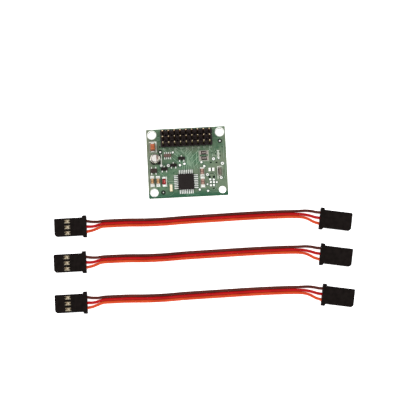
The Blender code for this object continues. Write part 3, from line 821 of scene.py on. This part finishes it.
def build_strips():
    """Nine eight-sided blocks in a row, cut from one moulding, with their top edges broken."""
    half = STRIP_WIDTH / 2
    corner = half - STRIP_NOTCH
    flat = PITCH / 2 - STRIP_NOTCH
    middles = evenly(CHANNELS, PITCH)
    upper = [(-CHANNELS * PITCH / 2, corner)]
    for middle in middles:
        upper += [(middle - flat, half), (middle + flat, half), (middle + PITCH / 2, corner)]
    outline = upper + [(x, -y) for x, y in reversed(upper)]
    holes = [[(middle + sx * PIN_HOLE, sy * PIN_HOLE) for sx, sy in CORNERS]
             for middle in middles]
    for row in ROWS:
        shape = plate([outline] + holes, BOARD_TOP + 0.25, STRIP_TOP)
        rim = [edge for edge in shape.edges
               if all(abs(v.co.z - STRIP_TOP) < 1e-4 for v in edge.verts)
               and any(abs(f.normal.z) < 0.5 for f in edge.link_faces)
               and max(abs(v.co.y) for v in edge.verts) > 0.5]
        bmesh.ops.bevel(shape, geom=rim, offset=0.16, segments=2, profile=0.5, affect="EDGES")
        for middle in middles:
            for side in (-1, 1):
                add_block(shape, (middle - 0.5, side * 0.66, BOARD_TOP + 0.01),
                          (middle + 0.5, side * 1.06, BOARD_TOP + 0.3))
                # Dark patch around each pin at the top of the strip: painted shade.
                add_block(shape, (middle - 0.42, side * 0.4, STRIP_TOP - 0.1),
                          (middle + 0.42, side * 1.02, STRIP_TOP + 0.006), look=1)
        shape.transform(shift(HEADER_X, ROW_Y[row]))
        piece(f"{row}_blocks", shape, ["header_black", "header_shade"],
              [f"{row}_header_strip"], 30)


# The free ends of the pins lean a little, row by row.
PIN_LEAN = {row: Matrix(((1.0, 0.0, lean_x, -lean_x * STRIP_TOP * 0.001),
                         (0.0, 1.0, lean_y, -lean_y * STRIP_TOP * 0.001),
                         (0.0, 0.0, 1.0, 0.0), (0.0, 0.0, 0.0, 1.0)))
            for row, lean_x, lean_y in (("ground", 0.035, 0.055), ("power", 0.035, 0.010),
                                        ("signal", 0.035, 0.025))}


def build_pins():
    """Square gold pins with tapered ends, one for each hole."""
    half = 0.32
    part = bmesh.new()
    rows = [[part.verts.new((sx * reach, sy * reach, z)) for sx, sy in CORNERS]
            for z, reach in ((0.0, 0.18), (0.35, half), (PIN_TIP_Z - 0.75, half),
                             (PIN_TIP_Z, 0.15))]
    bridge(part, rows)
    part.faces.new(rows[0])
    part.faces.new(rows[-1])
    bmesh.ops.recalc_face_normals(part, faces=part.faces)
    bmesh.ops.bevel(part, geom=part.edges[:], offset=0.045, segments=2, profile=0.6,
                    affect="EDGES")
    # The tip faces get the paler gold: a painted highlight.
    for face in part.faces:
        face.material_index = 1 if face.calc_center_median().z > PIN_TIP_Z - 0.06 else 0
    mesh = finished_mesh("pin", part)
    for (row, channel), (x, y) in PIN_PLACES.items():
        place = shift(x * 0.001, y * 0.001) @ PIN_LEAN[row]
        dress(f"{row}_pin_{channel}", mesh, ["gold", "gold_tip_highlight"], "board",
              [f"{row}_header_pins"], 30, place)


def build_pin_joints():
    """Solder cones around the pin tails under the board, and their rings above it."""
    shape = bmesh.new()
    profile = [(radius, BOARD_BOTTOM - drop)
               for radius, drop in ((0.0, -0.02), (0.82, -0.02), (0.84, 0.05), (0.66, 0.14),
                                    (0.50, 0.38), (0.42, 0.68), (0.0, 0.74))]
    for place in PIN_PLACES.values():
        add_turned(shape, profile, 18, shift(*place))
        add_ring(shape, place, PIN_HOLE_RADIUS, 0.85, TOP_ROOT, BOARD_TOP + INK, 18)
    piece("pin_solder", shape, ["tin"], smooth=50)


# ---- leaded parts ----
# Parts stand this far above the board, and moulded bodies this far above their feet.
SEAT_GAP = 0.03
BODY_STAND = 0.08


def gull_outline(reach, rise, thick, foot):
    """A bent lead seen from its side: level out of the body, down, and flat on its pad."""
    knee = reach - foot
    bend = thick * 1.1
    top = [(-0.25, rise), (knee - bend, rise)]
    top += circle(bend, 4, (knee - bend, rise - bend), 90, -90)[1:]
    top += [(knee, thick + bend)]
    top += circle(bend, 4, (knee + bend, thick + bend), 180, 90)[1:]
    top += [(reach, thick)]
    low = [(reach, 0.0), (knee + bend * 0.2, 0.0), (knee - thick, bend * 0.9),
           (knee - thick, rise - thick - bend * 0.5), (knee - thick - bend * 0.4, rise - thick),
           (-0.25, rise - thick)]
    return top + low


def add_leads(shape, length, width, legs, leg):
    """Bent leads around a body, with a solder toe at each foot."""
    reach, rise, thick, wide, foot, pad_end = leg
    outline = gull_outline(reach, rise, thick, foot)
    half = wide / 2
    pad = half + 0.03
    upright = quarter_turn("X")
    for angle, offsets in legs.items():
        outward = (width if angle % 180 else length) / 2
        for offset in offsets:
            place = shift(turn=angle) @ shift(outward, offset)
            merge(shape, prism(outline, -half, half), 1, place @ upright)
            add_block(shape, (reach - foot - 0.1, -pad, -0.03), (pad_end, pad, 0.05), bevel=0.03,
                      look=1, place=place)
            add_block(shape, (reach - 0.06, -half, 0.0), (reach + 0.2, half, 0.15), bevel=0.04,
                      look=1, place=place, top_inset=0.03)


def add_moulding(shape, length, width, stand, height, draft=0.09):
    """A moulded body with its parting line at mid height and drafted sides above and below."""
    x, y = length / 2, width / 2
    parting = stand + height * 0.52
    add_block(shape, (-x, -y, stand), (x, y, parting), bevel=0.03, bottom_inset=draft * 0.8)
    add_block(shape, (-x, -y, parting - 0.02), (x, y, stand + height), bevel=0.05,
              top_inset=draft)


def centre_of(node):
    """The middle of a CAD node, seen from above."""
    low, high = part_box(node)
    return (low.x + high.x) * 500, (low.y + high.y) * 500


def seat(name, node, shape, looks, turn=90.0, smooth=40.0):
    """Stands a finished part on the board where its node does."""
    x, y = centre_of(node)
    shape.transform(shift(x, y, BOARD_TOP + SEAT_GAP, turn))
    piece(name, shape, looks, [node], smooth)


def leaded_part(node, body, legs, leg, looks, turn=0.0, dimple=None, shade=None):
    """One moulded part with leads, standing where its node does."""
    shape = bmesh.new()
    length, width, height = body
    top = BODY_STAND + height
    add_moulding(shape, length, width, BODY_STAND, height)
    add_leads(shape, length, width, legs, leg)
    if dimple:
        radius, x, y = dimple
        add_ring(shape, (x, y), radius * 0.72, radius, top - 0.03, top + 0.012, 20)
    # A darker strip along one long side of the top: painted shade.
    if shade:
        add_block(shape, (-length / 2 + 0.2, width / 2 - 0.5, height - 0.1),
                  (length / 2 - 0.2, width / 2 - 0.12, top + 0.004), look=len(looks))
        looks = [*looks, shade]
    seat(f"{node}_body", node, shape, looks, turn, 32)


# Bent leads: reach, rise, thickness, width, foot, and where the solder pad ends.
QUAD_LEG = (1.0, 0.85, 0.14, 0.33, 0.5, 1.78)
TRANSISTOR_LEG = (0.45, 0.6, 0.12, 0.38, 0.25, 0.7)
INTERFACE_LEG = (0.6, 0.6, 0.12, 0.34, 0.28, 0.85)
REGULATOR_LEG = (0.45, 0.6, 0.12, 0.36, 0.25, 0.8)
DIODE_LEG = (0.5, 0.6, 0.14, 0.8, 0.3, 0.6)


def build_chips():
    """The microcontroller and the smaller leaded parts."""
    black = ["epoxy_black", "tin"]
    pair = (-0.95, 0.95)
    quad = {angle: evenly(8, 0.8) for angle in (0, 90, 180, 270)}
    leaded_part("microcontroller", (7.0, 7.0, 1.4), quad, QUAD_LEG, black,
                dimple=(0.42, -2.75, 2.75))
    for number in (1, 2, 3):
        leaded_part(f"transistor_{number}", (2.95, 1.5, 0.95), {270: pair, 90: (0.0,)},
                    TRANSISTOR_LEG, black)
    leaded_part("interface_chip", (3.3, 1.5, 1.1), {270: evenly(4, 0.86), 90: evenly(4, 0.86)},
                INTERFACE_LEG, ["epoxy_brown", "tin"])
    leaded_part("voltage_regulator", (2.9, 2.0, 1.1), {270: pair, 90: pair}, REGULATOR_LEG,
                ["epoxy_umber", "tin"])
    # The diode's darker strip along one side is painted shade.
    leaded_part("protection_diode", (2.9, 1.55, 1.1), {0: (0.0,), 180: (0.0,)}, DIODE_LEG,
                ["epoxy_grey", "dull_tin"], turn=90, shade="epoxy_umber")


# ---- chip parts ----
def add_end_solder(shape, side, x, width, height, reach, look):
    """The pad and the fillet of solder at one end of a chip part."""
    y = width / 2 + 0.05
    add_block(shape, (side * (x - 0.12), -y, -0.03), (side * (x + reach), y, 0.07), bevel=0.03,
              look=look)
    fillet = bmesh.new()
    bmesh.ops.create_cube(fillet, size=1.0)
    for vert in fillet.verts:
        outer = vert.co.x > 0
        vert.co.x = side * (x + (reach * 0.7 if outer else -0.1))
        vert.co.z = (0.06 if outer else height * 0.62) if vert.co.z > 0 else -0.01
        vert.co.y *= width * 0.9
    bmesh.ops.recalc_face_normals(fillet, faces=fillet.faces)
    bmesh.ops.bevel(fillet, geom=fillet.edges[:], offset=0.03, segments=2, affect="EDGES")
    merge(shape, fillet, look)


def chip_part(node, size, cap, looks, turn=90.0, crown=0.0, marks=(), reach=0.75, highlights=()):
    """A ceramic block between two metal caps, with solder climbing each end."""
    shape = bmesh.new()
    length, width, height = size
    x, y = length / 2, width / 2
    add_block(shape, (-x + cap * 0.6, -y + 0.04, 0.03), (x - cap * 0.6, y - 0.04, height - 0.04),
              bevel=0.10 + crown, segments=4 if crown else 2)
    for side in (-1, 1):
        add_block(shape, (side * (x - cap), -y, 0.0), (side * x, y, height), bevel=0.11, look=1,
                  segments=3)
        add_end_solder(shape, side, x, width, height, reach, len(looks) - 1 if highlights else 1)
    for middle in marks:
        add_block(shape, (middle - 0.09, -0.34, height - 0.1), (middle + 0.09, 0.34, height - 0.02),
                  look=2)
    # Paler strips along the top: painted highlights, leaving the darker body at the sides as
    # painted shade.
    for start, end in highlights:
        for side in (-1, 1):
            add_block(shape, (side * (x - cap - 0.08), start, height - 0.2),
                      (side * 0.12, end, height - 0.01), bevel=0.03, look=2)
    seat(f"{node}_body", node, shape, looks, turn)


CHIP_SIZE = (3.2, 1.6, 1.2)


def build_chip_parts():
    """Two kinds of ceramic capacitors, and the resistors with their printed marks."""
    for number in (1, 2):
        chip_part(f"ceramic_capacitor_{number}", CHIP_SIZE, 0.5,
                  ["ceramic_tan", "fired_tin", "highlight_tan", "tin"], crown=0.05,
                  highlights=[(-0.40, 0.40)])
    for number, reach in ((3, 0.3), (4, 0.75)):
        chip_part(f"ceramic_capacitor_{number}", CHIP_SIZE, 0.45,
                  ["ceramic_brown", "fired_tin", "highlight_pink", "tin"], crown=0.05, reach=reach,
                  highlights=[(-0.38, -0.06), (0.14, 0.46)])
    for number in (1, 2):
        chip_part(f"chip_resistor_{number}", (3.2, 1.6, 0.6), 0.4,
                  ["resistor_glass", "dull_tin", "resistor_mark"], turn=0.0,
                  marks=(-0.6, -0.15, 0.35, 0.75), reach=0.3)


def build_tantalum():
    """A moulded orange body with a dark polarity band and metal tabs folded up its ends."""
    shape = bmesh.new()
    add_moulding(shape, 3.2, 1.86, 0.06, 1.4, draft=0.12)
    add_block(shape, (-1.55, -0.89, 0.5), (-1.0, 0.89, 1.475), bevel=0.06, look=1,
              top_inset=0.07)
    for side in (-1, 1):
        add_block(shape, (side * 1.5, -0.62, 0.0), (side * 1.66, 0.62, 0.7), bevel=0.04, look=2)
        add_end_solder(shape, side, 1.6, 1.3, 0.5, 0.5, 2)
    seat("tantalum_body", "tantalum_capacitor", shape, ["tantalum", "tantalum_band", "tin"])


def build_resonator():
    """A glazed cream cap on an olive base."""
    shape = bmesh.new()
    add_block(shape, (-1.6, -0.65, 0.0), (1.6, 0.65, 0.35), bevel=0.05, look=1)
    add_block(shape, (-1.5, -0.56, 0.3), (1.5, 0.56, 0.9), bevel=0.12, segments=4)
    seat("resonator_body", "ceramic_resonator", shape, ["resonator", "resonator_side"])


def build_led():
    """A clear red lens with a paler red patch on top as a painted highlight, on a light base with
    tinned ends.
    """
    shape = bmesh.new()
    add_block(shape, (-1.45, -0.78, 0.02), (1.45, 0.78, 0.42), bevel=0.04, look=1)
    for side in (-1, 1):
        add_block(shape, (side * 1.25, -0.8, 0.0), (side * 1.62, 0.8, 0.46), bevel=0.05, look=2)
        add_end_solder(shape, side, 1.6, 1.3, 0.4, 0.55, 2)
    add_block(shape, (-1.3, -0.85, 0.4), (1.3, 0.85, 1.1), bevel=0.14, top_inset=0.08,
              segments=3)
    # Paler red patch on the lens top: a painted highlight.
    add_block(shape, (-0.6, -0.3, 1.05), (0.65, 0.15, 1.115), bevel=0.03, look=3)
    seat("status_led_body", "status_led", shape, ["led_lens", "led_base", "tin", "led_highlight"])


def build_can():
    """Drawn can on its base: rolled neck low down, printed half moon on the crown, flat tabs."""
    low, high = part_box("capacitor_can")
    x, y = centre_of("capacitor_can")
    foot = low.z * 1000
    crown = high.z * 1000
    radius = 2.0
    shoulder = 0.22
    neck = foot + 0.65
    profile = [(0.0, crown - 0.05), (1.5, crown - 0.05), (1.62, crown)]
    for step in range(5):
        angle = math.radians(step * 22.5)
        profile.append((radius - shoulder + shoulder * math.sin(angle),
                        crown - shoulder + shoulder * math.cos(angle)))
    profile += [(radius - inset, neck + rise)
                for inset, rise in ((0.0, 0.42), (0.05, 0.3), (0.2, 0.12), (0.24, 0.0),
                                    (0.2, -0.12), (0.05, -0.3), (0.0, -0.4))]
    profile += [(radius - 0.04, foot), (0.0, foot)]
    shape = bmesh.new()
    add_turned(shape, profile, 56, shift(x, y))
    centre = Vector((x, y, crown))
    for face in shape.faces:
        inside = (face.calc_center_median() - centre).length < 1.4
        face.material_index = 1 if inside else 0
    piece("can_shell", shape, ["can", "can_crown"], ["capacitor_can"], 30)
    moon = plate([circle(1.48, 22, (x, y), -66, 136)], crown - 0.055, crown - 0.035)
    piece("can_polarity_print", moon, ["can_print"])
    side = 4.3 / 2
    cut = 0.75
    base_low, base_high = (corner.z * 1000 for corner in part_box("capacitor_base"))
    outline = [(-side + cut, -side), (side, -side), (side, side), (-side + cut, side),
               (-side, side - cut), (-side, -side + cut)]
    base = prism(outline, base_low, base_low + 0.32, bevel=0.05)
    for turn in (0, 90, 180, 270):
        corner = [(2.12, 2.12)] if turn in (0, 270) else [(2.12, 1.4), (1.4, 2.12)]
        wall = [(1.12, 1.85), *circle(2.06, 6, (0, 0), 60, -30), (1.85, 1.12), (2.12, 1.12),
                *corner, (1.12, 2.12)]
        merge(base, prism(wall, base_low + 0.2, base_high), 0, shift(turn=turn))
    base.transform(shift(x, y))
    piece("can_base", base, ["header_black"], ["capacitor_base"], 30)
    tabs = bmesh.new()
    for near, far in ((-2.5, -1.7), (1.7, 2.3)):
        add_block(tabs, (x + near, y - 0.3, BOARD_TOP - 0.01), (x + far, y + 0.3, base_low + 0.1),
                  bevel=0.04)
    piece("can_tabs", tabs, ["tin"])


# ---- servo leads ----
def plug_place(rear, angle, flipped, lead):
    x, y = rear
    place = shift(x + lead[0], y + lead[1], PLUG_THICK / 2, angle)
    return place @ Matrix.Rotation(math.pi, 4, "X") if flipped else place


def combined(first, second, operation):
    """The union of two shapes, or their difference."""
    helpers = []
    for part in (first, second):
        mesh = bpy.data.meshes.new("helper")
        part.to_mesh(mesh)
        part.free()
        helpers.append(add_object("helper", mesh))
    step = helpers[0].modifiers.new("combine", "BOOLEAN")
    step.operation = operation
    step.object = helpers[1]
    depsgraph = bpy.context.evaluated_depsgraph_get()
    mesh = bpy.data.meshes.new_from_object(helpers[0].evaluated_get(depsgraph))
    result = bmesh.new()
    result.from_mesh(mesh)
    for helper in helpers:
        bpy.data.objects.remove(helper)
    return result


def cut_away(shape, boxes):
    """The shape less a set of boxes that don't touch each other."""
    tool = bmesh.new()
    for low, high in boxes:
        add_block(tool, low, high)
    bmesh.ops.recalc_face_normals(tool, faces=tool.faces)
    return combined(shape, tool, "DIFFERENCE")


def housing_mesh():
    """A three-way servo plug: flange at the wire end, latch windows on top, keyed front edge."""
    half = PLUG_WIDTH / 2
    flange = FLANGE_WIDTH / 2
    corner = 0.3
    inner_end = PLUG_LENGTH - FRONT_WALL
    body = [(0.4, -half), (PLUG_LENGTH - corner, -half), (PLUG_LENGTH, -half + corner),
            (PLUG_LENGTH, half - KEY_CHAMFER), (PLUG_LENGTH - KEY_CHAMFER, half), (0.4, half)]
    shape = prism(body, -PLUG_THICK / 2, PLUG_THICK / 2, bevel=0.09)
    taper = 0.38
    wings = [(0.0, -flange), (FLANGE_LENGTH - taper, -flange), (FLANGE_LENGTH, -flange + taper),
             (FLANGE_LENGTH, flange - taper), (FLANGE_LENGTH - taper, flange), (0.0, flange)]
    lanes = evenly(3, PITCH)
    cavities = [((-1.0, y - CAVITY_WIDTH / 2, -CAVITY_HEIGHT / 2),
                 (inner_end, y + CAVITY_WIDTH / 2, CAVITY_HEIGHT / 2)) for y in lanes]
    openings = [((inner_end - 0.3, y - 0.5, -0.5), (PLUG_LENGTH + 1.0, y + 0.5, 0.5))
                for y in lanes]
    windows = [((WINDOW_START, y - 0.9, CAVITY_HEIGHT / 2 - 0.2),
                (WINDOW_END, y + 0.9, PLUG_THICK)) for y in lanes]
    grooves = [((WINDOW_START - 1.7, y - 0.88, PLUG_THICK / 2 - 0.14),
                (WINDOW_START + 0.2, y + 0.88, PLUG_THICK)) for y in lanes]
    flanged = prism(wings, -PLUG_THICK / 2, PLUG_THICK / 2, bevel=0.1)
    shape = combined(shape, flanged, "UNION")
    for boxes in (cavities, openings, windows, grooves):
        shape = cut_away(shape, boxes)
    return finished_mesh("plug_housing", shape)


def contact_mesh():
    """A crimped contact: square socket with tang holes, a neck, and two pairs of crimp wings."""
    shape = bmesh.new()
    start, end = 5.0, 13.0
    half_w, half_h, wall = 0.8, 0.65, 0.2
    ring = [[(sx * (half_h - inset), sy * (half_w - inset)) for sx, sy in CORNERS]
            for inset in (0.0, wall)]
    tube = plate(ring, 0.0, end - start)
    outer = [edge for edge in tube.edges
             if all(abs(abs(v.co.x) - half_h) < 1e-4 and abs(abs(v.co.y) - half_w) < 1e-4
                    for v in edge.verts)]
    bmesh.ops.bevel(tube, geom=outer, offset=0.16, segments=3, affect="EDGES")
    merge(shape, tube, place=shift(start) @ quarter_turn("Y"))
    shape = cut_away(shape, [((WINDOW_START - 0.1, -0.38, 0.3), (WINDOW_START + 0.65, 0.38, 1.0)),
                             ((WINDOW_END - 0.6, -0.38, 0.3), (WINDOW_END + 0.1, 0.38, 1.0))])
    add_block(shape, (4.35, -0.3, -half_h), (start + 0.1, 0.3, -half_h + wall), bevel=0.03)
    for low, high, radius in ((3.7, 4.4, 0.42), (2.2, 3.3, 0.72)):
        wing = plate([circle(radius, 18), circle(radius - 0.12, 18)], low, high)
        merge(shape, wing, place=quarter_turn("Y"))
    return finished_mesh("contact", shape)


def smooth_way(points, step):
    """Points about one step apart on a smooth curve through all the given points."""
    ways = [points[0]] + points + [points[-1]]
    way = []
    for before, start, end, after in zip(ways, ways[1:], ways[2:], ways[3:]):
        count = max(1, round((end - start).length / step))
        for index in range(count):
            t = index / count
            way.append(0.5 * (2 * start + (end - before) * t
                              + (2 * before - 5 * start + 4 * end - after) * t ** 2
                              + (3 * start - before - 3 * end + after) * t ** 3))
    return way + [points[-1]]


def ribbon_points(side, lead):
    """One wire's points between the plugs: the middle route moved sideways by its spread."""
    centres = [Vector((x + lead[0], y + lead[1], z)) for x, y, z, _, _ in RIBBON_ROUTE]
    moved = []
    for index, centre in enumerate(centres):
        ahead = centres[min(index + 1, len(centres) - 1)]
        behind = centres[max(index - 1, 0)]
        along = (ahead - behind).normalized()
        across = Vector((-along.y, along.x, 0.0)).normalized()
        spread = RIBBON_ROUTE[index][3 if side > 0 else 4]
        moved.append(centre + across * side * spread)
    return moved


def in_plug(plug, side, lean):
    """A wire's stripped end in its cavity, and its place at the plug's wire end."""
    end, guide = (plug @ Vector((depth, -side * PITCH, 0.0)) for depth in (WIRE_DEPTH, WIRE_GUIDE))
    return [end, guide + Vector((0.0, lean, 0.0))]


def build_wire(name, look, points, body, node):
    curve = bpy.data.curves.new(name, "CURVE")
    curve.dimensions = "3D"
    curve.bevel_depth = WIRE_DIAMETER / 2 * 0.001
    curve.bevel_resolution = 4
    curve.use_fill_caps = True
    spline = curve.splines.new("POLY")
    way = smooth_way(points, 0.9)
    spline.points.add(len(way) - 1)
    for point, place in zip(spline.points, way):
        point.co = (*(place * 0.001), 1.0)
    spline.use_smooth = True
    curve.materials.append(LOOKS[look])
    wire = add_object(name, curve)
    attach(wire, body)
    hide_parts(node)


def build_leads():
    housing = housing_mesh()
    contact = contact_mesh()
    metres = Matrix.Diagonal((0.001, 0.001, 0.001, 1.0))
    to_metres = metres.inverted()
    for number, lead in enumerate(LEAD_SHIFTS, start=1):
        body = f"lead_{number}"
        places = {"left": plug_place(LEFT_PLUG_REAR, LEFT_PLUG_ANGLE, False, lead),
                  "right": plug_place(RIGHT_PLUG_REAR, RIGHT_PLUG_ANGLE, True, lead)}
        for end, place in places.items():
            dress(f"{body}_{end}_housing", housing, ["plug"], body,
                                [f"{body}_{end}_plug"], 30, metres @ place @ to_metres)
            for line, side in CONDUCTORS.items():
                lane = place @ shift(y=-side * PITCH)
                dress(f"{body}_{end}_{line}_crimp", contact, ["contact_gold"],
                                    body, [f"{body}_{end}_{line}_contact"], 35,
                                    metres @ lane @ to_metres)
        for line, side in CONDUCTORS.items():
            points = in_plug(places["left"], side, LEFT_LEAN[line]) + ribbon_points(side, lead)
            points += reversed(in_plug(places["right"], side, RIGHT_LEAN[line]))
            build_wire(f"{body}_{line}_insulation", WIRE_LOOKS[line], points, body,
                       f"{body}_{line}_wire")


# ---- stage and light ----
def build_stage():
    shape = bmesh.new()
    bmesh.ops.create_grid(shape, x_segments=4, y_segments=4, size=1.5)
    mesh = bpy.data.meshes.new("floor")
    shape.to_mesh(mesh)
    shape.free()
    floor = add_object("floor", mesh)
    mesh.materials.append(surface("floor_acrylic", (0.88, 0.88, 0.88), (0.90, 0.90, 0.90), 40.0,
                                  (0.85, 0.95), Emission_Color=(1.0, 1.0, 1.0, 1.0),
                                  Emission_Strength=0.95))
    floor.location.z = -0.00005


def area_light(name, place, size, power):
    light = bpy.data.lights.new(name, "AREA")
    light.shape = "SQUARE"
    light.size = size
    light.energy = power
    lamp = add_object(name, light)
    lamp.location = place
    direction = Vector((0.005, -0.02, 0.0)) - Vector(place)
    lamp.rotation_euler = direction.to_track_quat("-Z", "Y").to_euler()


def build_lights():
    world = bpy.data.worlds.new("studio")
    world.use_nodes = True
    background = world.node_tree.nodes["Background"]
    background.inputs["Color"].default_value = (1.0, 1.0, 1.0, 1.0)
    background.inputs["Strength"].default_value = 0.16
    bpy.context.scene.world = world
    area_light("softbox_left", (-0.38, 0.16, 0.40), 0.35, 2.2)
    area_light("softbox_right", (0.40, 0.12, 0.36), 0.35, 2.0)
    area_light("softbox_front", (0.02, -0.46, 0.34), 0.40, 1.8)
    bpy.context.scene.view_settings.view_transform = "Standard"


build_camera()
build_leads()
build_laminate()
build_tracks()
build_plated_marks()
build_mask_openings()
build_print()
build_strips()
build_pins()
build_pin_joints()
build_chips()
build_chip_parts()
build_tantalum()
build_resonator()
build_led()
build_can()
build_stage()
build_lights()
